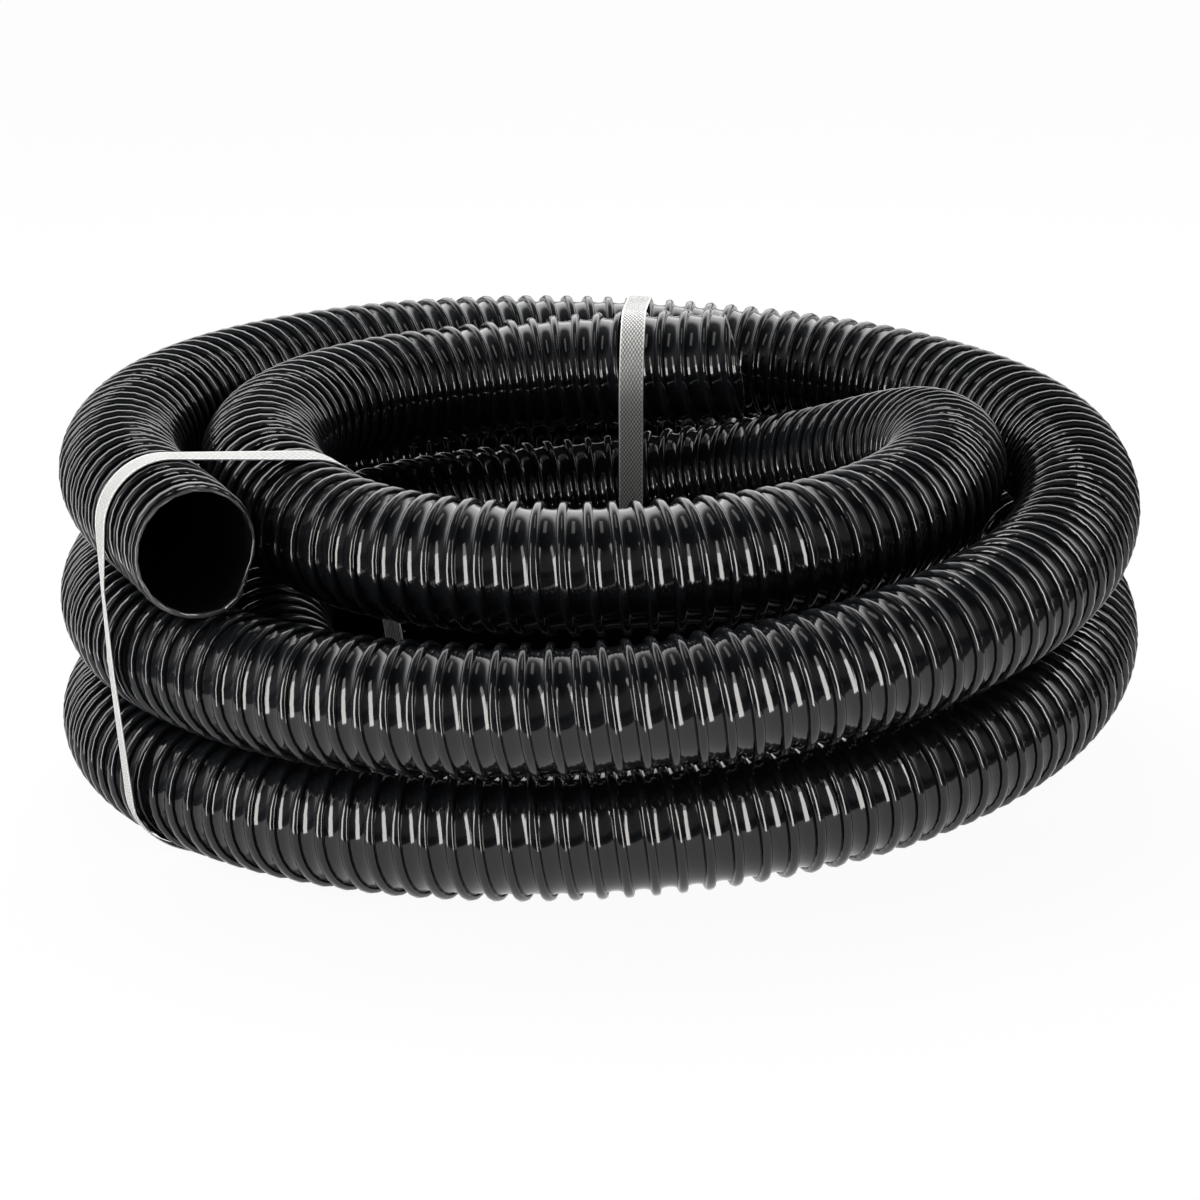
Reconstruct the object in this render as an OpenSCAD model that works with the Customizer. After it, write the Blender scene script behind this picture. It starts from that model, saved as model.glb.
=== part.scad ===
// Spiral-ribbed pool vacuum hose, wound into a strapped coil.
// Millimetres. +Z up, the floor at z = 0, the origin under the middle of the coil.
// The open front end is at the left front, and +Y points to the back of the coil.

/* [Hose] */
// Clear bore of the hose
bore_d = 51; // [46:0.5:56]
// Thickness of the wall between two ribs
wall_t = 0.9; // [0.7:0.1:1.5]
// Height of a rib above the wall
rib_h = 2.6; // [1.5:0.1:3]
// Ribs drawn along the wound hose
rib_count = 172; // [120:1:190]
// Length of each straight, cut end
end_len = 58; // [40:1:60]
// Ribs on each straight end
end_ribs = 5; // [2:1:5]
// Width of a rib on the straight ends
end_rib_w = 5; // [3:0.5:7]

/* [Coil] */
// Radius of the inner ring, from the coil's middle to the hose's middle
ring_r = 153; // [150:1:180]
// Least room left between two turns that lie on or beside each other
turn_gap = 0.5; // [0.5:0.1:3]

/* [Straps] */
// Width of a packing strap
strap_w = 12; // [8:1:16]
// Thickness of a packing strap
strap_t = 0.5; // [0.4:0.1:0.7]
// Clearance between a strap and the ribs it passes over
strap_gap = 0.3; // [0.2:0.1:0.4]

/* [Hidden] */

sides = 8;                       // flats round the wound hose
corner = 1 / cos(180 / sides);   // corner radius of a ring over its flat radius
bore_r = bore_d / 2;
wall_r = bore_r + wall_t;
hose_r = wall_r + rib_h;
hose_od = 2 * hose_r;            // outside diameter over the ribs
pitch = hose_od + turn_gap;      // from turn to turn, across or up
foot_cut = 0.5;                  // depth of the flat that the bottom turn stands on
strap_room = 1.6;                // what a leaning strap needs besides its own thickness
lift = (strap_t + strap_gap + strap_room) / pitch;

// The lay of the hose: [degrees turned clockwise from the front, lane, layer].
// A lane is one pitch out from the inner ring, a layer one pitch up from the floor.
// The bottom turn is lifted a little in two places, where a strap passes below it.
lay = [
    [40, 1.22, 2.03], [60, 1.17, 2.05], [80, 1.15, 2.09], [100, 1.01, 2.15], [150, 0.87, 2.05],
    [200, 0.96, 1.86], [260, 1.15, 1.74], [300, 1.28, 1.46], [340, 1.32, 1.18],
    [380, 1.26, 1.06], [415, 1.21, 1.04], [450, 1.16, 1.02], [500, 1.23, 1.05],
    [520, 1.27, 1.00], [550, 1.33, 0.88], [600, 1.33, 0.66], [640, 1.21, 0.42],
    [680, 1.08, 0.21], [730, 0.99, 0.08], [750, 1.06, 0.04], [780, 1.20, lift],
    [820, 1.24, 0.00], [870, 0.90, 0.00], [885, 0.77, 0.00], [905, 0.60, 1.6 * lift],
    [925, 0.46, 0.00], [970, 0.14, 0.00], [1020, -0.02, 0.00], [1090, -0.02, 0.02], [1150, 0.02, 0.50],
    [1200, 0.03, 0.87], [1265, -0.02, 0.87], [1300, 0.02, 1.19], [1330, 0.08, 1.72],
    [1350, 0.15, 1.92], [1410, 0.31, 1.85], [1480, 0.19, 1.84], [1520, 0.03, 2.06],
    [1560, -0.10, 2.06], [1600, -0.31, 2.03], [1640, -0.53, 2.14]
];
first_angle = 60;                // where the wound hose meets its front end
last_angle = 1626;               // and its rear end
front_angle = 23;                // way of the front end, in degrees right of the front
front_slope = -0.01;             // and its rise over its run
ease_angle = 30;                 // degrees each way over which the lay is rounded off
ease_steps = 6;

lanes = [for (s = lay) [s[0], s[1]]];
layers = [for (s = lay) [s[0], s[2]]];
weight = function (k) 1 + cos(180 * k / ease_steps);
weight_sum = 2 * ease_steps;
function eased(turned, rows) =
    let (parts = [for (k = [-ease_steps:ease_steps])
        weight(k) * lookup(turned + k * ease_angle / ease_steps, rows)])
    parts * [for (p = parts) 1] / weight_sum;

shift_x = -0.6;                  // these bring the origin under the strapped coil's middle
shift_y = -0.9;
shift = [shift_x, shift_y, 0];

// Middle of the hose once it has turned so many degrees
function middle(turned) =
    let (r = ring_r + pitch * eased(turned, lanes),
         z = hose_r - foot_cut + pitch * eased(turned, layers))
    [-r * sin(turned), -r * cos(turned), z] + shift;
function unit(v) = v / norm(v);
function heading(turned) = unit(middle(turned + 0.5) - middle(turned - 0.5));

// Length travelled along the route, to space the ribs evenly
step_angle = 3;
turns = [for (a = [first_angle:step_angle:last_angle]) a];
route = [for (a = turns) middle(a)];
travelled = [for (i = 0, s = 0; i < len(route);
    s = s + (i + 1 < len(route) ? norm(route[i + 1] - route[i]) : 0), i = i + 1) [s, turns[i]]];
wound_len = travelled[len(travelled) - 1][0];

// Least gap between two turns. Both are taken as octagons, so the widest of the
// sideways, the upright and the two diagonal spaces is what keeps them apart.
near = 90 / step_angle;          // route points in a quarter of a turn
level = 10;                      // points no further apart along the hose lie abreast
function space(p, q, out) =
    let (across = abs((q - p) * out), up = abs(q.z - p.z))
    max(across, up, (across + up) / sqrt(2)) - hose_od;
gaps = [for (i = [0:len(route) - 1 - near])
    let (t = heading(turns[i]), out = unit([-t.y, t.x, 0]))
    for (j = [i + near:len(route) - 1])
        if (abs((route[j] - route[i]) * t) < level) space(route[i], route[j], out)];
echo(hose_length = wound_len + 2 * end_len);
echo(least_gap = min(gaps));

// One ring of corners round the hose, flat side down, never below the floor
function ring(turned, r) =
    let (p = middle(turned), t = turned == first_angle ? -front_way : heading(turned),
         out = unit([-t.y, t.x, 0]), up = cross(t, out))
    [for (k = [0:sides - 1])
        let (a = (k + 0.5) * 360 / sides,
             q = p + r * corner * (cos(a) * out + sin(a) * up))
        [q.x, q.y, max(q.z, 0)]];

// Triangles between ring a and ring b of a tube
function skin(a, b) = [for (k = [0:sides - 1])
    let (n = (k + 1) % sides)
    each [[a + k, b + k, b + n], [a + k, b + n, a + n]]];

module hose_coil() {
    stations = 2 * rib_count;
    at = [for (i = [0:stations]) lookup(i * wound_len / stations, travelled)];
    outer = [for (i = [0:stations]) each ring(at[i], i % 2 == 0 ? wall_r : hose_r)];
    inner = [for (i = [0:rib_count]) each ring(at[2 * i], bore_r)];
    first_inner = len(outer);
    outer_end = stations * sides;
    inner_end = first_inner + rib_count * sides;
    faces = [
        for (i = [0:stations - 1]) each skin(i * sides, (i + 1) * sides),
        for (i = [0:rib_count - 1])
            each skin(first_inner + (i + 1) * sides, first_inner + i * sides),
        each skin(first_inner, 0),
        each skin(outer_end, inner_end)
    ];
    color([0.07, 0.07, 0.08]) polyhedron(points = concat(outer, inner), faces = faces);
}

// One straight end, turned about +Z: it meets the wound hose at z = 0
module straight_end() {
    step = end_len / end_ribs;
    half = end_rib_w / 2;
    ribs = [for (i = [0:end_ribs - 1]) let (c = (i + 0.5) * step)
        each [[wall_r, c - half], [hose_r, c], [wall_r, c + half]]];
    color([0.07, 0.07, 0.08]) rotate_extrude($fn = 96)
        polygon(concat([[bore_r, 0], [wall_r, 0]], ribs, [[wall_r, end_len], [bore_r, end_len]]));
}

// Turns +Z to point along v
module aim(v)
    rotate([0, acos(v.z), atan2(v.y, v.x)]) children();

front_foot = middle(first_angle);
front_way = unit([sin(front_angle), -cos(front_angle), front_slope]);
rear_foot = middle(last_angle);
rear_way = heading(last_angle);

module hose_front_end() translate(front_foot) aim(front_way) straight_end();
module hose_rear_end() translate(rear_foot) aim(rear_way) straight_end();

// The middle line of the whole hose, its straight ends included
front_mouth = front_foot + end_len * front_way;
rear_mouth = rear_foot + end_len * rear_way;
spine = concat([front_mouth], route, [rear_mouth]);
echo(front_mouth = front_mouth, front_way = front_way);
echo(rear_mouth = rear_mouth, rear_way = rear_way);

// A strap lies in a steep plane: [a point on it, its yaw, its lean]. The point is on the
// floor, under the middle of the coil's outer half, so many degrees turned from the front.
strap_r = ring_r + 0.9 * pitch;
left_angle = 52.1;
rear_angle = 185.4;
function strap_foot(turned) = [-strap_r * sin(turned), -strap_r * cos(turned), 0];
left_plane = [strap_foot(left_angle), 24, -4.5];
rear_plane = [strap_foot(rear_angle), 87, 2];

// The hose's outline, r from its middle to a flat, wherever it passes an edge of a
// strap: octagons in the strap's own plane. A strap ties the turns on its own side of
// the coil and leaves out those across the middle.
function slices(plane, r) =
    let (foot = plane[0] + shift, yaw = plane[1], lean = plane[2],
         across = [cos(yaw), sin(yaw), 0],
         up = [sin(lean) * sin(yaw), -sin(lean) * cos(yaw), cos(lean)],
         way = cross(across, up),
         far = [for (p = spine) (p - foot) * way])
    [for (edge = [-strap_w / 2, strap_w / 2]) for (i = [0:len(spine) - 2])
        if (far[i] != far[i + 1] && (far[i] - edge) * (far[i + 1] - edge) <= 0)
            let (t = unit(spine[i + 1] - spine[i]),
                 p = spine[i] + t * (edge - far[i]) / (t * way) - foot,
                 out = unit([-t.y, t.x, 0]), over = cross(t, out))
            if ((spine[i] - shift) * plane[0] > 0)
                [for (k = [0:sides - 1])
                    let (a = (k + 0.5) * 360 / sides,
                         q = p + r * corner * (cos(a) * out + sin(a) * over),
                         e = q + t * (edge - q * way) / (t * way))
                    [e * across, e * up]]];

// The outline that a band laid tightly round all those slices takes
module wrapped(plane, r)
    hull() for (s = slices(plane, r)) polygon(s);

module strap(plane)
    color([0.88, 0.88, 0.87]) translate(plane[0] + shift) rotate([90 + plane[2], 0, plane[1]])
        linear_extrude(height = strap_w, center = true)
            difference() {
                wrapped(plane, hose_r + strap_gap + strap_t);
                wrapped(plane, hose_r + strap_gap);
            }

module strap_left() strap(left_plane);
module strap_rear() strap(rear_plane);

hose_coil();
hose_front_end();
hose_rear_end();
strap_left();
strap_rear();
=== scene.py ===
import math

import bmesh
import bpy
import numpy as np
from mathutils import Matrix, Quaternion, Vector


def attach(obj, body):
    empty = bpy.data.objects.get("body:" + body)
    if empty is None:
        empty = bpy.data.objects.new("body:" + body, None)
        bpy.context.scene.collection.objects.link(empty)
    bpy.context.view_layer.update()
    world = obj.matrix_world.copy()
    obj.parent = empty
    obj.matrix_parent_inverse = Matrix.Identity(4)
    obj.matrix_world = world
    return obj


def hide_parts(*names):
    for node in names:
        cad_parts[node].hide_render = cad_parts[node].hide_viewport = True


# A coiled pool vacuum hose: glossy black film wound into a tube, a rigid spiral
# bonded round it, and two white packing straps. Metres, +Z up, floor at z = 0.

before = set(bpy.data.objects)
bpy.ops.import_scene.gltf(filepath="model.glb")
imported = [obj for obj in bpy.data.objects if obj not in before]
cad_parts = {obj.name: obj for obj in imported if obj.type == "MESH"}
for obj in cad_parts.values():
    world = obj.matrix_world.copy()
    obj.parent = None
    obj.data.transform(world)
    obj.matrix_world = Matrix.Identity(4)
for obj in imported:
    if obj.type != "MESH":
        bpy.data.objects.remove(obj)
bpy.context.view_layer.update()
print("frame loaded")


camera = {
    "target": (0.000456, -0.0009, 0.070515),
    "distance": 1.75,
    "elevation": 17.208,      # degrees above the horizon
    "roll": -1.38,            # degrees
    "lens": 111.1,            # millimetres, as the sensor
    "sensor": 36.0,
    "clip": (0.05, 200),
}


def addCamera(c):
    data = bpy.data.cameras.new("camera")
    data.lens = c["lens"]
    data.sensor_width = c["sensor"]
    data.clip_start, data.clip_end = c["clip"]
    obj = bpy.data.objects.new("camera", data)
    bpy.context.scene.collection.objects.link(obj)
    e = math.radians(c["elevation"])
    back = Vector((0, -math.cos(e), math.sin(e)))
    obj.location = Vector(c["target"]) + c["distance"] * back
    obj.rotation_mode = "QUATERNION"
    obj.rotation_quaternion = (Quaternion((1, 0, 0), math.pi / 2 - e)
                               @ Quaternion((0, 0, 1), math.radians(c["roll"])))
    bpy.context.scene.camera = obj


addCamera(camera)
print("camera placed")


coil = {
    "ringRadius": 0.153,      # inner ring, from the coil's middle to the hose's middle
    "diameter": 0.058,        # over the ribs
    "turnGap": 0.0005,
    "footCut": 0.0005,        # how far the bottom turn is pressed flat
    "strapRoom": 0.0024,      # lift of the bottom turn where a strap passes under it
    "firstAngle": 60.0,       # degrees turned clockwise from the front
    "lastAngle": 1626.0,
    "angleStep": 0.25,        # degrees between two points of the wound hose
    "headingAngle": 0.5,      # degrees each way over which the last heading is taken
    "frontAngle": 23.0,       # way of the front end, right of the front
    "frontSlope": -0.01,      # its rise over its run
    "endLength": 0.058,       # each straight end
    "endStep": 0.001,         # between two points of a straight end
    "shift": (-0.0006, -0.0009, 0.0),
    "ease": 30.0,             # degrees each way over which the lay is rounded off
    "easeSteps": 6,
    "joinLength": 0.036,      # the front end bends into the coil over this, each way
    "step": 0.002,            # between two points of the finished route
}
coilPitch = coil["diameter"] + coil["turnGap"]
lift = coil["strapRoom"] / coilPitch
# the lay of the hose: degrees turned, lanes out from the inner ring, layers up
coilLay = [
    (40, 1.22, 2.03), (60, 1.17, 2.05), (80, 1.15, 2.09), (100, 1.01, 2.15),
    (150, 0.87, 2.05), (200, 0.96, 1.86), (260, 1.15, 1.74), (300, 1.28, 1.46),
    (340, 1.32, 1.18), (380, 1.26, 1.06), (415, 1.21, 1.04), (450, 1.16, 1.02),
    (500, 1.23, 1.05), (520, 1.27, 1.00), (550, 1.33, 0.88), (600, 1.33, 0.66),
    (640, 1.21, 0.42), (680, 1.08, 0.21), (730, 0.99, 0.08), (750, 1.06, 0.04),
    (780, 1.20, lift), (820, 1.24, 0.00), (870, 0.90, 0.00), (885, 0.77, 0.00),
    (905, 0.60, 1.6 * lift), (925, 0.46, 0.00), (970, 0.14, 0.00), (1020, -0.02, 0.00),
    (1090, -0.02, 0.02), (1150, 0.02, 0.50), (1200, 0.03, 0.87), (1265, -0.02, 0.87),
    (1300, 0.02, 1.19), (1330, 0.08, 1.72), (1350, 0.15, 1.92), (1410, 0.31, 1.85),
    (1480, 0.19, 1.84), (1520, 0.03, 2.06), (1560, -0.10, 2.06), (1600, -0.31, 2.03),
    (1640, -0.53, 2.14),
]


# A column of the lay, rounded off by a weighted mean of its neighbourhood
def eased(turned, column):
    degrees = [row[0] for row in coilLay]
    values = [row[column] for row in coilLay]
    n = coil["easeSteps"]
    total = 0
    for k in range(-n, n + 1):
        weight = (1 + math.cos(math.pi * k / n)) / (2 * n)
        total = total + weight * np.interp(turned + k * coil["ease"] / n, degrees, values)
    return total


# Middle of the hose once it has turned so many degrees
def middle(turned):
    turned = np.atleast_1d(np.asarray(turned, float))
    r = coil["ringRadius"] + coilPitch * eased(turned, 1)
    z = coil["diameter"] / 2 - coil["footCut"] + coilPitch * eased(turned, 2)
    a = np.radians(turned)
    return np.stack([-r * np.sin(a), -r * np.cos(a), z], 1) + np.array(coil["shift"])


def unit(v):
    return v / np.linalg.norm(v, axis=-1, keepdims=True)


def lengthsAlong(points):
    steps = np.linalg.norm(np.diff(points, axis=0), axis=1)
    return np.concatenate([[0], np.cumsum(steps)])


# The columns of values, read off at other lengths along the same line
def sampled(at, lengths, values):
    return np.stack([np.interp(at, lengths, column) for column in values.T], 1)


def resampled(points, degrees, step):
    s = lengthsAlong(points)
    at = np.linspace(0, s[-1], int(round(s[-1] / step)) + 1)
    return sampled(at, s, points), np.interp(at, s, degrees)


# One smooth curve from point lo to point hi, in the route's own way at both
def smoothJoin(points, s, lo, hi):
    span = s[hi] - s[lo]
    u = ((s[lo:hi] - s[lo]) / span)[:, None]
    p0, p1 = points[lo], points[hi]
    t0, t1 = (unit(points[i + 1] - points[i - 1]) for i in (lo, hi))
    return ((2 * u**3 - 3 * u**2 + 1) * p0 + (u**3 - 2 * u**2 + u) * span * t0
            + (3 * u**2 - 2 * u**3) * p1 + (u**3 - u**2) * span * t1)


def makeRoute():
    first, last, angleStep = coil["firstAngle"], coil["lastAngle"], coil["angleStep"]
    turned = np.arange(first, last + angleStep / 2, angleStep)
    wound = middle(turned)
    a = math.radians(coil["frontAngle"])
    frontWay = unit(np.array([math.sin(a), -math.cos(a), coil["frontSlope"]]))
    before, after = middle([last - coil["headingAngle"], last + coil["headingAngle"]])
    rearWay = unit(after - before)
    endStep = coil["endStep"]
    run = np.arange(endStep, coil["endLength"] + endStep / 2, endStep)[:, None]
    front = wound[0] + run[::-1] * frontWay
    rear = wound[-1] + run * rearWay
    points = np.concatenate([front, wound, rear])
    degrees = np.concatenate([np.full(len(run), first), turned, np.full(len(run), last)])
    s = lengthsAlong(points)
    join, half = coil["endLength"], coil["joinLength"]
    lo, hi = np.searchsorted(s, join - half), np.searchsorted(s, join + half)
    points[lo:hi] = smoothJoin(points, s, lo, hi)
    return resampled(points, degrees, coil["step"])


route, routeDegrees = makeRoute()
routeLength = lengthsAlong(route)
hoseLength = float(routeLength[-1])
routeWay = unit(np.gradient(route, axis=0))
print(f"route laid, {hoseLength:.3f} m")


wall = {
    "around": 28,             # points round the hose, in one turn of the spiral
    "boreAround": 20,
    "phase": 2.0,             # where the spiral starts, radians from the outer side
    "spareTurns": 2,          # wound past each end, and trimmed off there
    # the winding is a little closer in some stretches: (degrees turned, rib to rib)
    "spacing": [(60, 0.0100), (150, 0.0103), (250, 0.0109), (340, 0.0106), (400, 0.0109),
                (450, 0.0107), (670, 0.0110), (720, 0.0108), (1330, 0.0107), (1385, 0.0098),
                (1450, 0.0107), (1515, 0.0094), (1560, 0.0096), (1600, 0.0106),
                (1626, 0.0112)],
    "meanSpacing": 0.0106,    # for the pattern's coordinates
    # film between two ribs: (share of the spacing, radius), the last inside the next rib
    "film": [(0.25, 0.02613), (0.365, 0.02572), (0.51, 0.0256), (0.66, 0.02572),
             (0.775, 0.02613), (1.0, 0.0275)],
    "boreRadius": 0.02530,
    "boreStep": 0.010,        # between two rings of the bore
    "ringsToRib": 4,          # closer rings near the mouths, where the bore is seen
    "boreWave": 0.00025,      # corrugation inside the mouths
    "waveReach": 0.110,       # how far in it goes, and over which length it fades
    "waveFade": 0.01,
}
rib = {
    # closed bead section: (offset along the hose, radius). It is steep towards the front
    # end of the hose, and slopes off to the other side
    "section": [(-0.0023, 0.0260), (-0.0018, 0.02835), (-0.0009, 0.0288),
                (0.0006, 0.0289), (0.0015, 0.0284), (0.0027, 0.0254)],
    "underside": 0.0015,      # its width in the pattern's coordinates
}
cut = {
    # the front cut runs back along the spiral: how deep, and between which angles
    "front": (0.0068, math.radians(242), math.radians(570)),
    # the rear cut is plain but slanted: mean depth, slant and its longest side
    "rear": (0.0011, 0.0107, math.radians(190)),
    "reach": 0.060,           # the hose gives way to a slanted cut over this length
    "weldDistance": 1e-7,
    "rimTolerance": 1e-5,
    # the front end opens out a little at its mouth: by how much its bore, and its film
    "flare": (0.0015, 0.0028),
    "flareLength": 0.012,
    "flareLimit": 0.0287,     # the film stays inside the ribs
    "sag": (0.0012, 0, -0.0025),
    "sagLength": 0.055,
}

ribSpacing = np.interp(routeDegrees, *np.transpose(wall["spacing"]))
woundTurns = np.concatenate([[0], np.cumsum(np.diff(routeLength) / ribSpacing[:-1])])


# Way along the hose after so many turns of the spiral, past its ends as well
def alongHose(turns):
    before = np.minimum(turns, 0) * ribSpacing[0]
    after = np.maximum(turns - woundTurns[-1], 0) * ribSpacing[-1]
    return np.interp(turns, woundTurns, routeLength) + before + after


def cutDepth(angle, end):
    if end == "rear":
        mean, slant, longest = cut[end]
        depth = mean - slant * np.cos(angle - longest)
    else:
        deepest, start, stop = cut[end]
        turn = np.mod(angle - start, 2 * math.pi)
        rising = turn / (stop - start)
        falling = (2 * math.pi - turn) / (2 * math.pi - stop + start)
        depth = deepest * np.minimum(rising, falling)
    return depth / (1 - depth / cut["reach"])


def meshFrom(name, points, faces, uvs):
    mesh = bpy.data.meshes.new(name)
    mesh.from_pydata(points.tolist(), [], faces.tolist())
    layer = mesh.uv_layers.new(name="windingUv")
    layer.data.foreach_set("uv", np.asarray(uvs, np.float32).ravel())
    return mesh


# A section swept along the spiral of a straight hose, z along it. An open section
# is (share of the spacing, radius) and joins the next turn. A closed one is a bead.
def spiralSheet(section, closed):
    around, spare = wall["around"], wall["spareTurns"]
    n = np.arange(-spare * around, int(math.ceil(woundTurns[-1]) + spare) * around + 1)
    count, rows = len(section), len(n)
    across, radius = np.transpose(section)
    angle = 2 * math.pi * n / around + wall["phase"]
    turns = n / around
    if closed:
        s = alongHose(turns)[:, None] + across[None, :]
    else:
        s = alongHose(turns[:, None] + across[None, :])
    points = np.stack([np.outer(np.cos(angle), radius).ravel(),
                       np.outer(np.sin(angle), radius).ravel(), s.ravel()], 1)
    width = across if closed else across * wall["meanSpacing"]
    jump = 0 if closed else around
    ahead = rib["underside"] if closed else wall["meanSpacing"]
    run = math.pi * coil["diameter"] / around
    r = np.arange(rows - 1 - jump)
    faces, uvs = [], []
    for c in range(count):
        d = (c + 1) % count
        skip = jump if d == 0 else 0
        faces.append(np.stack([r * count + c, (r + 1) * count + c,
                               (r + 1 + skip) * count + d, (r + skip) * count + d], 1))
        v0, v1 = width[c], width[d] + (ahead if d == 0 else 0)
        u0, u1 = r * run, (r + 1) * run
        uvs.append(np.stack([u0, 0 * u0 + v0, u1, 0 * u0 + v0, u1, 0 * u0 + v1,
                             u0, 0 * u0 + v1], 1))
    return points, np.concatenate(faces), np.concatenate(uvs)


# Shifts both ends of the hose so that a straight cut across it is the slanted one
# once it is shifted back
def skewed(points, back=False):
    angle = np.arctan2(points[:, 1], points[:, 0])
    s, reach = points[:, 2], cut["reach"]
    for end in ("front", "rear"):
        depth = cutDepth(angle, end)
        e = s if end == "front" else hoseLength - s
        moved = (e + depth) / (1 + depth / reach) if back else e + (e / reach - 1) * depth
        e = np.where(e < reach, moved, e)
        s = e if end == "front" else hoseLength - e
    return np.stack([points[:, 0], points[:, 1], s], 1)


def setCoords(mesh, points):
    mesh.vertices.foreach_set("co", np.asarray(points, np.float32).ravel())
    mesh.update()


def coords(mesh):
    co = np.empty(len(mesh.vertices) * 3, np.float32)
    mesh.vertices.foreach_get("co", co)
    return co.reshape(-1, 3).astype(float)


# Cuts both ends off square, and closes them if asked to
def trim(mesh, fill):
    bm = bmesh.new()
    bm.from_mesh(mesh)
    for height, side in ((0.0, "inner"), (hoseLength, "outer")):
        result = bmesh.ops.bisect_plane(
            bm, geom=bm.verts[:] + bm.edges[:] + bm.faces[:], dist=cut["weldDistance"],
            plane_co=(0, 0, height), plane_no=(0, 0, 1),
            clear_inner=side == "inner", clear_outer=side == "outer")
        edges = [e for e in result["geom_cut"] if isinstance(e, bmesh.types.BMEdge)]
        if fill:
            bmesh.ops.holes_fill(bm, edges=edges, sides=0)
    bm.to_mesh(mesh)
    bm.free()


def flared(s, radius):
    share = np.clip(1 - s / cut["flareLength"], 0, 1)
    onBore = radius <= wall["boreRadius"] + wall["boreWave"]
    opened = np.where(onBore, *cut["flare"])
    return np.maximum(radius, np.minimum(radius + opened * share, cut["flareLimit"]))


# From the straight hose (way along it, angle, radius) to its place in the coil. It may
# lie a little past either end, and it flattens where it meets the floor
def onRoute(s, angle, radius):
    centre = sampled(s, routeLength, route)
    way = unit(sampled(s, routeLength, routeWay))
    centre = centre + (s - np.clip(s, 0, hoseLength))[:, None] * way
    sagging = np.clip(1 - s / cut["sagLength"], 0, 1) ** 2
    centre = centre + sagging[:, None] * np.array(cut["sag"])
    radius = flared(s, radius)
    out = unit(np.stack([-way[:, 1], way[:, 0], np.zeros(len(way))], 1))
    up = np.cross(way, out)
    p = centre + radius[:, None] * (np.cos(angle)[:, None] * out + np.sin(angle)[:, None] * up)
    p[:, 2] = np.maximum(p[:, 2], 0)
    return p


def bend(mesh):
    p = coords(mesh)
    angle, radius = np.arctan2(p[:, 1], p[:, 0]), np.hypot(p[:, 0], p[:, 1])
    setCoords(mesh, onRoute(p[:, 2], angle, radius))


def boreTube():
    reach = wall["waveReach"]
    fine = ribSpacing[0] / wall["ringsToRib"]
    s = np.concatenate([np.arange(0, reach, fine),
                        np.arange(reach, hoseLength - reach, wall["boreStep"]),
                        np.arange(hoseLength - reach, hoseLength, fine), [hoseLength]])
    around = wall["boreAround"]
    angle = 2 * math.pi * np.arange(around) / around
    along = s[:, None] + 0 * angle[None, :]
    turned = 2 * math.pi * np.interp(along, routeLength, woundTurns) + wall["phase"]
    edge = np.minimum(along, hoseLength - along)
    wave = wall["boreWave"] * np.clip((reach - edge) / wall["waveFade"], 0, 1)
    radius = wall["boreRadius"] + wave * np.cos(angle[None, :] - turned)
    points = np.stack([(radius * np.cos(angle)).ravel(), (radius * np.sin(angle)).ravel(),
                       along.ravel()], 1)
    run = 2 * math.pi * wall["boreRadius"] / around
    faces, uvs = [], []
    r = np.arange(len(s) - 1)
    for c in range(around):
        d = (c + 1) % around
        faces.append(np.stack([r * around + c, (r + 1) * around + c,
                               (r + 1) * around + d, r * around + d], 1))
        u0, u1 = 0 * r + c * run, 0 * r + (c + 1) * run
        uvs.append(np.stack([u0, s[r], u0, s[r + 1], u1, s[r + 1], u1, s[r]], 1))
    return points, np.concatenate(faces), np.concatenate(uvs)


def addPiece(name, mesh):
    obj = bpy.data.objects.new(name, mesh)
    bpy.context.scene.collection.objects.link(obj)
    mesh.shade_smooth()
    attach(obj, "root")
    return obj


# Closes the rim, and marks it as a fresh cut for the material
def closeRim(bm, height, cutFace):
    edges = [e for e in bm.edges if e.is_boundary
             and all(abs(v.co.z - height) < cut["rimTolerance"] for v in e.verts)]
    for face in bmesh.ops.bridge_loops(bm, edges=edges)["faces"]:
        face[cutFace] = 1.0


def makeWall():
    outer = meshFrom("hose_wall", *spiralSheet(wall["film"], closed=False))
    setCoords(outer, skewed(coords(outer)))
    trim(outer, fill=False)
    inner = meshFrom("bore", *boreTube())
    bm = bmesh.new()
    bm.from_mesh(outer)
    bm.from_mesh(inner)
    cutFace = bm.faces.layers.float.new("cutFace")
    for height in (0.0, hoseLength):
        closeRim(bm, height, cutFace)
    bm.to_mesh(outer)
    bm.free()
    bpy.data.meshes.remove(inner)
    setCoords(outer, skewed(coords(outer), back=True))
    bend(outer)
    return addPiece("hose_wall", outer)


def makeRib():
    mesh = meshFrom("spiral_rib", *spiralSheet(rib["section"], closed=True))
    setCoords(mesh, skewed(coords(mesh)))
    trim(mesh, fill=True)
    setCoords(mesh, skewed(coords(mesh), back=True))
    bend(mesh)
    return addPiece("spiral_rib", mesh)


hoseWall = makeWall()
spiralRib = makeRib()
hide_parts("hose_coil", "hose_front_end", "hose_rear_end")
print(f"hose wound: wall {len(hoseWall.data.polygons)}, rib {len(spiralRib.data.polygons)} faces")


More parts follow.
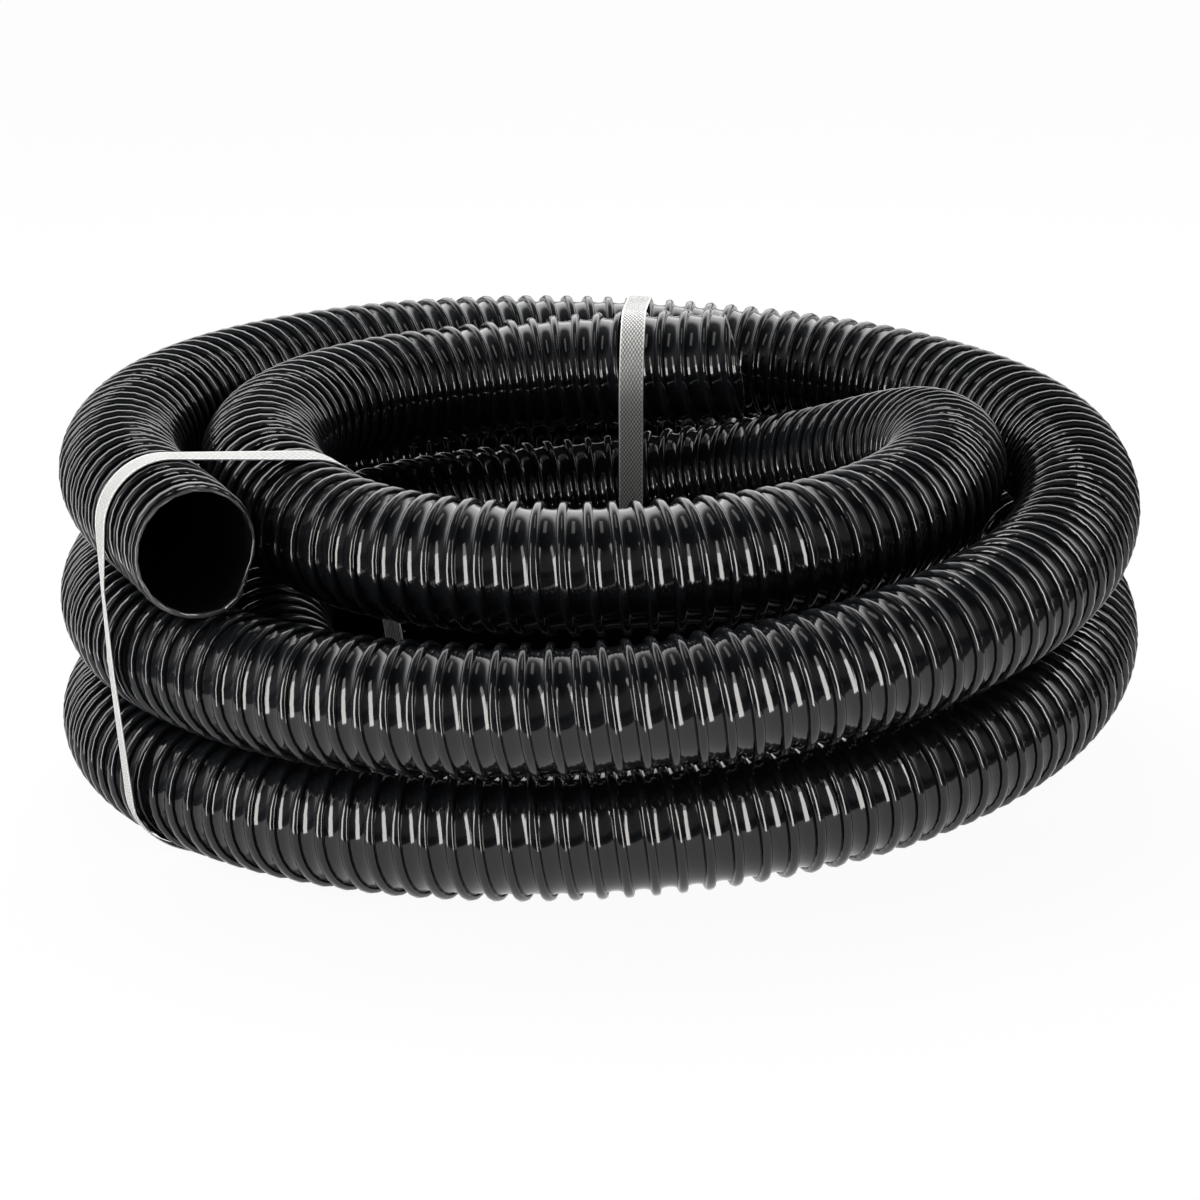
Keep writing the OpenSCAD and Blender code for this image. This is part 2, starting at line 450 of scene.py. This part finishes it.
strap = {
    "width": 0.012,
    "thickness": 0.0005,
    "clearance": 0.0002,      # over the ribs
    "stepAlong": 0.00072,     # fine enough for the embossing
    "stepsAcross": 24,
    "lines": 5,               # outlines worked out across the width
    "ringStep": 3,            # degrees between two points round a turn of the hose
    "outlinePoints": 4001,
    "floorGap": 0.00012,      # least height of the inner face
    "footRadius": coil["ringRadius"] + 0.9 * coilPitch,
    # degrees turned, yaw, lean
    "straps": {"strap_left": (52.1, 24.0, -4.5), "strap_rear": (185.4, 87.0, 2.0)},
    # how far one edge stands off on the outer side, and over which heights: it comes
    # away between the first two and lies down again between the last two
    "standOff": {"strap_left": 0.0032, "strap_rear": 0.0},
    "standOffHeights": (0.004, 0.024, 0.125, 0.150),
}
emboss = {
    "across": 0.0017,         # from one raised row to the next, across and along
    "along": 0.0029,
    "height": 0.00014,
    "plainEdge": 0.0007,      # the edges are plain
    "edgeFade": 0.0003,
}


def convexHull(points):
    ordered = sorted(map(tuple, points))

    def half(seq):
        out = []
        for p in seq:
            while len(out) > 1 and ((out[-1][0] - out[-2][0]) * (p[1] - out[-2][1])
                                    - (out[-1][1] - out[-2][1]) * (p[0] - out[-2][0])) <= 0:
                out.pop()
            out.append(p)
        return out[:-1]

    return np.array(half(ordered) + half(ordered[::-1]))


# Outline of a tight band round the turns, where they pass one edge line of a strap
def strapLine(plane, edge):
    foot, across, up, way = plane
    shift = np.array(coil["shift"])
    radius = coil["diameter"] / 2 + strap["clearance"]
    far = (route - foot) @ way - edge
    ownSide = (route - shift) @ (foot - shift) > 0
    angle = np.radians(np.arange(0, 360, strap["ringStep"]))
    rings = []
    for i in np.nonzero((far[:-1] * far[1:] <= 0) & ownSide[:-1])[0]:
        t = unit(route[i + 1] - route[i])
        p = route[i] - t * far[i] / (t @ way) - foot
        out = unit(np.array([-t[1], t[0], 0]))
        over = np.cross(t, out)
        q = p + radius * (np.cos(angle)[:, None] * out + np.sin(angle)[:, None] * over)
        q = q + t * ((edge - q @ way) / (t @ way))[:, None]
        rings.append(np.stack([q @ across, np.maximum(q @ up, strap["floorGap"])], 1))
    hull = convexHull(np.concatenate(rings))
    return np.concatenate([hull, hull[:1]])


# The outline at the same directions from the middle as the base outline's points
def matched(outline, base, centre):
    share = lengthsAlong(outline)
    share = share / share[-1]
    dense = np.linspace(0, 1, strap["outlinePoints"])
    x, y = sampled(dense, share, outline).T
    angle = np.unwrap(np.arctan2(y - centre[1], x - centre[0]))
    want = np.arctan2(base[:, 1] - centre[1], base[:, 0] - centre[0])
    want = angle[0] + np.mod(want - angle[0], 2 * math.pi)
    return np.stack([np.interp(want, angle, x), np.interp(want, angle, y)], 1)


def embossed(along, over, length):
    rows = round(length / emboss["along"])
    wave = (np.cos(2 * math.pi * along * rows / length)
            * np.cos(2 * math.pi * over / emboss["across"]))
    inside = strap["width"] / 2 - emboss["plainEdge"] - np.abs(over)
    return emboss["height"] * np.clip(wave, 0, 1) * np.clip(inside / emboss["edgeFade"], 0, 1)


# A point of a strap's plane on the floor, its two axes and its normal
def strapPlane(turned, yaw, lean):
    a, y, e = (math.radians(v) for v in (turned, yaw, lean))
    r = strap["footRadius"]
    foot = np.array([-r * math.sin(a), -r * math.cos(a), 0]) + np.array(coil["shift"])
    across = np.array([math.cos(y), math.sin(y), 0])
    up = np.array([math.sin(e) * math.sin(y), -math.sin(e) * math.cos(y), math.cos(e)])
    return foot, across, up, np.cross(across, up)


# The inner face in the strap's plane: a row for each step round it, a column for each
# edge line. It comes with the way round at each row, and with the whole way
def strapGrid(plane, edges):
    ring = strapLine(plane, 0.0)
    s = lengthsAlong(ring)
    length = s[-1]
    count = int(round(length / strap["stepAlong"]))
    at = np.arange(count) * length / count
    base = sampled(at, s, ring)
    centre = base.mean(0)
    known = np.linspace(edges[0], edges[-1], strap["lines"])
    lines = np.array([matched(strapLine(plane, edge), base, centre) for edge in known])
    grid = np.empty((count, len(edges), 2))
    for j, edge in enumerate(edges):
        i = min(np.searchsorted(known, edge, side="right") - 1, strap["lines"] - 2)
        f = (edge - known[i]) / (known[i + 1] - known[i])
        grid[:, j] = (1 - f) * lines[i] + f * lines[i + 1]
    return grid, at, length


# Points of the inner face and then of the embossed outer one
def strapPoints(plane, edges, grid, at, length, standOff):
    foot, across, up, way = plane
    tangent = np.roll(grid, -2, 0) - np.roll(grid, 2, 0)
    normal = unit(np.stack([tangent[:, :, 1], -tangent[:, :, 0]], 2))
    over = edges[None, :] + 0 * at[:, None]
    turnedOut = np.interp(grid[:, :, 1], strap["standOffHeights"], (0, 1, 1, 0))
    turnedOut = turnedOut * (grid[:, :, 0] < 0) * (0.5 + over / strap["width"])
    grid = grid + normal * (standOff * turnedOut)[:, :, None]
    thick = strap["thickness"] + embossed(at[:, None] + 0 * over, over, length)
    layers = []
    for q in (grid, grid + normal * thick[:, :, None]):
        p = foot + q[:, :, 0:1] * across + q[:, :, 1:2] * up + over[:, :, None] * way
        layers.append(p.reshape(-1, 3))
    points = np.concatenate(layers)
    points[:, 2] = np.maximum(points[:, 2], 0)
    return points


def strapFaces(edges, at, length):
    count, columns = len(at), len(edges)
    n = count * columns
    i = np.arange(count)
    j = (i + 1) % count
    here, ahead = at, at + length / count
    faces, uvs = [], []

    def addQuads(corners, sides):
        faces.append(np.stack(corners, 1))
        uvs.append(np.stack([v for u, side in sides for v in (u, 0 * u + side)], 1))

    for c in range(columns - 1):
        a0, b0 = i * columns + c, j * columns + c
        a1, b1 = a0 + 1, b0 + 1
        low, high = edges[c], edges[c + 1]
        addQuads([a0, b0, b1, a1], [(here, low), (ahead, low), (ahead, high), (here, high)])
        addQuads([n + a1, n + b1, n + b0, n + a0],
                 [(here, high), (ahead, high), (ahead, low), (here, low)])
    for c in (0, columns - 1):
        a0, b0, side = i * columns + c, j * columns + c, edges[c]
        addQuads([a0, n + a0, n + b0, b0],
                 [(here, side), (here, side), (ahead, side), (ahead, side)])
    return np.concatenate(faces), np.concatenate(uvs)


def makeStrap(name, turned, yaw, lean):
    plane = strapPlane(turned, yaw, lean)
    edges = np.linspace(-strap["width"] / 2, strap["width"] / 2, strap["stepsAcross"] + 1)
    grid, at, length = strapGrid(plane, edges)
    points = strapPoints(plane, edges, grid, at, length, strap["standOff"][name])
    mesh = meshFrom(name, points, *strapFaces(edges, at, length))
    bm = bmesh.new()
    bm.from_mesh(mesh)
    bmesh.ops.recalc_face_normals(bm, faces=bm.faces)
    bm.to_mesh(mesh)
    bm.free()
    piece = addPiece(f"packing_{name}", mesh)
    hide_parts(name)
    print(f"{name}: {length * 1000:.0f} mm round, {len(mesh.polygons)} faces")
    return piece


straps = [makeStrap(name, *place) for name, place in strap["straps"].items()]


def newMaterial(name):
    material = bpy.data.materials.new(name)
    material.use_nodes = True
    nodes = material.node_tree.nodes
    return material, nodes, material.node_tree.links, nodes["Principled BSDF"]


def mathNode(nodes, links, operation, *values):
    node = nodes.new("ShaderNodeMath")
    node.operation = operation
    for socket, value in zip(node.inputs, values):
        if isinstance(value, (int, float)):
            socket.default_value = value
        else:
            links.new(value, socket)
    return node.outputs[0]


def bumpNode(nodes, links, strength, distance, height, normal=None):
    node = nodes.new("ShaderNodeBump")
    node.inputs["Strength"].default_value = strength
    node.inputs["Distance"].default_value = distance
    links.new(height, node.inputs["Height"])
    if normal:
        links.new(normal, node.inputs["Normal"])
    return node.outputs["Normal"]


def toneNode(nodes, links, fac, dark, light):
    node = nodes.new("ShaderNodeValToRGB")
    node.color_ramp.elements[0].color = (*dark, 1)
    node.color_ramp.elements[1].color = (*light, 1)
    links.new(fac, node.inputs["Fac"])
    return node.outputs["Color"]


def noiseNode(nodes, links, vector, scale, detail):
    node = nodes.new("ShaderNodeTexNoise")
    node.inputs["Scale"].default_value = scale
    node.inputs["Detail"].default_value = detail
    links.new(vector, node.inputs["Vector"])
    return node.outputs["Fac"]


def windingUv(nodes):
    node = nodes.new("ShaderNodeUVMap")
    node.uv_map = "windingUv"
    return node.outputs["UV"]


pvc = {
    "color": (0.0085, 0.0093, 0.0112),
    "shades": (0.8, 1.2),     # the color varies between these shares of it
    "cutColor": (0.10, 0.10, 0.097),   # the cut ends are paler
    "roughness": 0.09,
    "ior": 1.50,
    # strength, depth, scale and detail of the film's soft waviness, and of the fine
    # lines left by the winding
    "ripple": (0.035, 0.0015, 90, 2),
    "lines": (0.05, 0.0003, 1, 3),
    "lineStretch": (6, 900, 1),
}


def hoseMaterial():
    material, nodes, links, shader = newMaterial("glossyBlackPvc")
    shader.inputs["Roughness"].default_value = pvc["roughness"]
    shader.inputs["IOR"].default_value = pvc["ior"]
    place = nodes.new("ShaderNodeTexCoord").outputs["Object"]
    strength, depth, scale, detail = pvc["ripple"]
    ripple = noiseNode(nodes, links, place, scale, detail)
    soft = bumpNode(nodes, links, strength, depth, ripple)
    stretch = nodes.new("ShaderNodeMapping")
    stretch.inputs["Scale"].default_value = pvc["lineStretch"]
    links.new(windingUv(nodes), stretch.inputs["Vector"])
    strength, depth, scale, detail = pvc["lines"]
    lines = noiseNode(nodes, links, stretch.outputs["Vector"], scale, detail)
    fine = bumpNode(nodes, links, strength, depth, lines, soft)
    links.new(fine, shader.inputs["Normal"])
    dark, light = ([share * c for c in pvc["color"]] for share in pvc["shades"])
    fresh = nodes.new("ShaderNodeAttribute")
    fresh.attribute_name = "cutFace"
    mix = nodes.new("ShaderNodeMix")
    mix.data_type = "RGBA"
    links.new(fresh.outputs["Fac"], mix.inputs["Factor"])
    links.new(toneNode(nodes, links, ripple, dark, light), mix.inputs["A"])
    mix.inputs["B"].default_value = (*pvc["cutColor"], 1)
    links.new(mix.outputs["Result"], shader.inputs["Base Color"])
    return material


polypropylene = {
    "color": (0.86, 0.86, 0.85),
    # painted shade: the embossing's low rows are coloured darker than the strap's own white
    "paintedGrooveShade": (0.24, 0.24, 0.24),
    "roughness": 0.42,
    "ior": 1.49,
    "relief": (1.0, 0.0002),  # strength and depth
    # the pattern's waves, times the first and plus the second, give how far it is raised, and so
    # how much painted shade its low rows get
    "contrast": (1.4, 0.35),
}


def strapMaterial():
    material, nodes, links, shader = newMaterial("whitePolypropylene")
    shader.inputs["Roughness"].default_value = polypropylene["roughness"]
    shader.inputs["IOR"].default_value = polypropylene["ior"]
    split = nodes.new("ShaderNodeSeparateXYZ")
    links.new(windingUv(nodes), split.inputs[0])
    waves = [mathNode(nodes, links, "COSINE",
                      mathNode(nodes, links, "MULTIPLY", split.outputs[axis], 2 * math.pi / size))
             for axis, size in (("X", emboss["along"]), ("Y", emboss["across"]))]
    reliefAndShade = mathNode(nodes, links, "MULTIPLY", *waves)
    reliefAndShade = mathNode(nodes, links, "MULTIPLY_ADD", reliefAndShade, *polypropylene["contrast"])
    edge = mathNode(nodes, links, "ABSOLUTE", split.outputs["Y"])
    plain = mathNode(nodes, links, "GREATER_THAN", edge,
                     strap["width"] / 2 - emboss["plainEdge"])
    reliefAndShade = mathNode(nodes, links, "MAXIMUM", reliefAndShade, plain)
    reliefAndShade = mathNode(nodes, links, "MINIMUM", mathNode(nodes, links, "MAXIMUM", reliefAndShade, 0), 1)
    links.new(bumpNode(nodes, links, *polypropylene["relief"], reliefAndShade),
              shader.inputs["Normal"])
    # painted shade: the same relief colours the low rows of the embossing darker, as if shaded
    links.new(toneNode(nodes, links, reliefAndShade, polypropylene["paintedGrooveShade"], polypropylene["color"]),
              shader.inputs["Base Color"])
    return material


blackPvc = hoseMaterial()
whiteStrap = strapMaterial()
for piece in (hoseWall, spiralRib):
    piece.data.materials.append(blackPvc)
for piece in straps:
    piece.data.materials.append(whiteStrap)
print("materials made")


studio = {
    "floorSize": 30.0,
    "floorDrop": 0.0002,      # the floor lies just below the hose
    "floorWhite": 0.9,
    "floorPaintedShade": 0.015,     # painted shade on the floor under the coil, where hardly any light gets in
    # radii between which the floor turns from its painted shade to pale, plainly and in
    # reflections, and those of the coil's open middle, where the camera sees it pale as well
    "hollow": (0.175, 0.205),
    "mirroredHollow": (0.215, 0.240),
    "hollowCentre": (-0.02, 0.03, 0),
    "hole": (0.128, 0.118),
    "backdropShare": 0.95,    # how much of the pale floor is seen as plain white
    # where the floor ends for reflections: at the front, and at the sides of the front half
    "frontEdge": (-0.60, -0.64),
    "sideEdge": (0.50, 0.56),
    "sideBack": (0.30, 0.20),
    # name: (place, looks at, width, height, radiance, diffuse, glossy)
    "lamps": {
        "topSoftbox": ((-0.05, 0.55, 1.05), (0, 0, 0.1), 0.8, 1.0, 4.5, True, False),
        "overhead": ((0, 0, 0.76), (0, 0.001, 0.1), 0.13, 0.38, 1.6, False, True),
        "leftStrip": ((-0.31, -0.40, 0.17), (-0.09, -0.20, 0.17), 0.10, 0.34, 13, False, True),
        "leftUpper": ((-0.31, -0.40, 0.47), (-0.09, -0.20, 0.47), 0.10, 0.26, 4, False, True),
        "rightStrip": ((0.195, -0.47, 0.17), (0.06, -0.21, 0.17), 0.10, 0.34, 13, False, True),
        "rightUpper": ((0.195, -0.47, 0.47), (0.06, -0.21, 0.47), 0.10, 0.26, 4, False, True),
        "leftFill": ((-1.60, -0.45, 0.80), (0, 0, 0.1), 1.2, 1.2, 5.0, True, False),
    },
    "lampColor": (1.0, 0.985, 0.955),
    # height of the direction, brightness of the room
    "room": [(0.0, 0.3), (0.13, 0.5), (0.26, 2.7), (0.60, 2.7), (0.85, 0.2)],
    "frontRoom": 0.10,        # the share of it in the dark front, and in the floor's place
    "frontFade": (0.05, 0.45),   # where that front ends, by the direction's way back
}


def addLamp(name, place, aim, width, height, radiance, diffuse, glossy):
    data = bpy.data.lights.new(name, "AREA")
    data.shape = "RECTANGLE"
    data.size, data.size_y = width, height
    data.energy = radiance * math.pi * width * height
    data.color = studio["lampColor"]
    obj = bpy.data.objects.new(name, data)
    bpy.context.scene.collection.objects.link(obj)
    obj.location = place
    obj.rotation_mode = "QUATERNION"
    obj.rotation_quaternion = (Vector(place) - Vector(aim)).to_track_quat("Z", "Y")
    obj.visible_camera = False
    obj.visible_diffuse = diffuse
    obj.visible_glossy = glossy


# Goes from the lowest value to 1 as the input goes from one limit to the other
def rangeNode(nodes, links, value, limits, lowest=0.0):
    node = nodes.new("ShaderNodeMapRange")
    node.inputs["From Min"].default_value, node.inputs["From Max"].default_value = limits
    node.inputs["To Min"].default_value = lowest
    links.new(value, node.inputs["Value"])
    return node.outputs["Result"]


def distanceNode(nodes, links, place, centre):
    node = nodes.new("ShaderNodeVectorMath")
    node.operation = "DISTANCE"
    node.inputs[1].default_value = centre
    links.new(place, node.inputs[0])
    return node.outputs["Value"]


def mixNode(nodes, links, share, first, second):
    node = nodes.new("ShaderNodeMixShader")
    for socket, source in zip(node.inputs, (share, first, second)):
        links.new(source, socket)
    return node.outputs[0]


def floorMaterial():
    material, nodes, links, shader = newMaterial("paleFloor")
    nodes.remove(shader)
    place = nodes.new("ShaderNodeTexCoord").outputs["Object"]
    split = nodes.new("ShaderNodeSeparateXYZ")
    links.new(place, split.inputs[0])
    rays = nodes.new("ShaderNodeLightPath").outputs

    def combined(operation, *values):
        return mathNode(nodes, links, operation, *values)

    def beyond(value, key):
        return rangeNode(nodes, links, value, studio[key])

    fromHollow = distanceNode(nodes, links, place, studio["hollowCentre"])
    fromMiddle = distanceNode(nodes, links, place, (0, 0, 0))
    hole = combined("MULTIPLY", rays["Is Camera Ray"], beyond(fromMiddle, "hole"))
    openFloor = combined("MAXIMUM", hole, beyond(fromHollow, "hollow"))
    openMirror = beyond(fromHollow, "mirroredHollow")

    lit = nodes.new("ShaderNodeBsdfDiffuse")
    # painted shade: the floor's colour is near black under the coil and pale outside it
    dark, light = ([studio[key]] * 3 for key in ("floorPaintedShade", "floorWhite"))
    links.new(toneNode(nodes, links, openFloor, dark, light), lit.inputs["Color"])
    plain = nodes.new("ShaderNodeEmission")
    direct = combined("MAXIMUM", rays["Is Camera Ray"], rays["Is Transmission Ray"])
    direct = combined("MULTIPLY", direct, openFloor)
    mirrored = combined("MULTIPLY", rays["Is Glossy Ray"], openMirror)
    share = combined("MULTIPLY", combined("MAXIMUM", direct, mirrored), studio["backdropShare"])
    pale = mixNode(nodes, links, share, lit.outputs[0], plain.outputs[0])

    sideways = combined("ABSOLUTE", split.outputs["X"])
    aside = combined("MULTIPLY", beyond(sideways, "sideEdge"),
                     beyond(split.outputs["Y"], "sideBack"))
    ended = combined("MAXIMUM", aside, beyond(split.outputs["Y"], "frontEdge"))
    ended = combined("MULTIPLY", ended, rays["Is Glossy Ray"])
    darkRoom = nodes.new("ShaderNodeEmission")
    darkRoom.inputs["Strength"].default_value = studio["frontRoom"]
    links.new(mixNode(nodes, links, ended, pale, darkRoom.outputs[0]),
              nodes["Material Output"].inputs["Surface"])
    return material


def addFloor():
    bpy.ops.mesh.primitive_plane_add(size=studio["floorSize"],
                                     location=(0, 0, -studio["floorDrop"]))
    floor = bpy.context.object
    floor.name = "floor"
    floor.data.materials.append(floorMaterial())


def addWorld():
    world = bpy.data.worlds.new("studioRoom")
    bpy.context.scene.world = world
    world.use_nodes = True
    nodes, links = world.node_tree.nodes, world.node_tree.links
    split = nodes.new("ShaderNodeSeparateXYZ")
    links.new(nodes.new("ShaderNodeTexCoord").outputs["Generated"], split.inputs[0])
    ramp = nodes.new("ShaderNodeValToRGB")
    ramp.color_ramp.interpolation = "EASE"
    elements = ramp.color_ramp.elements
    while len(elements) < len(studio["room"]):
        elements.new(0.5)
    for element, (where, value) in zip(elements, studio["room"]):
        element.position = where
        element.color = (value, value, value, 1)
    links.new(split.outputs["Z"], ramp.inputs["Fac"])
    background = nodes["Background"].inputs
    links.new(ramp.outputs["Color"], background["Color"])
    front = rangeNode(nodes, links, split.outputs["Y"], studio["frontFade"], studio["frontRoom"])
    links.new(front, background["Strength"])


for lampName, lampPlace in studio["lamps"].items():
    addLamp(lampName, *lampPlace)
addFloor()
addWorld()
bpy.context.scene.view_settings.view_transform = "Standard"
print("studio lit")
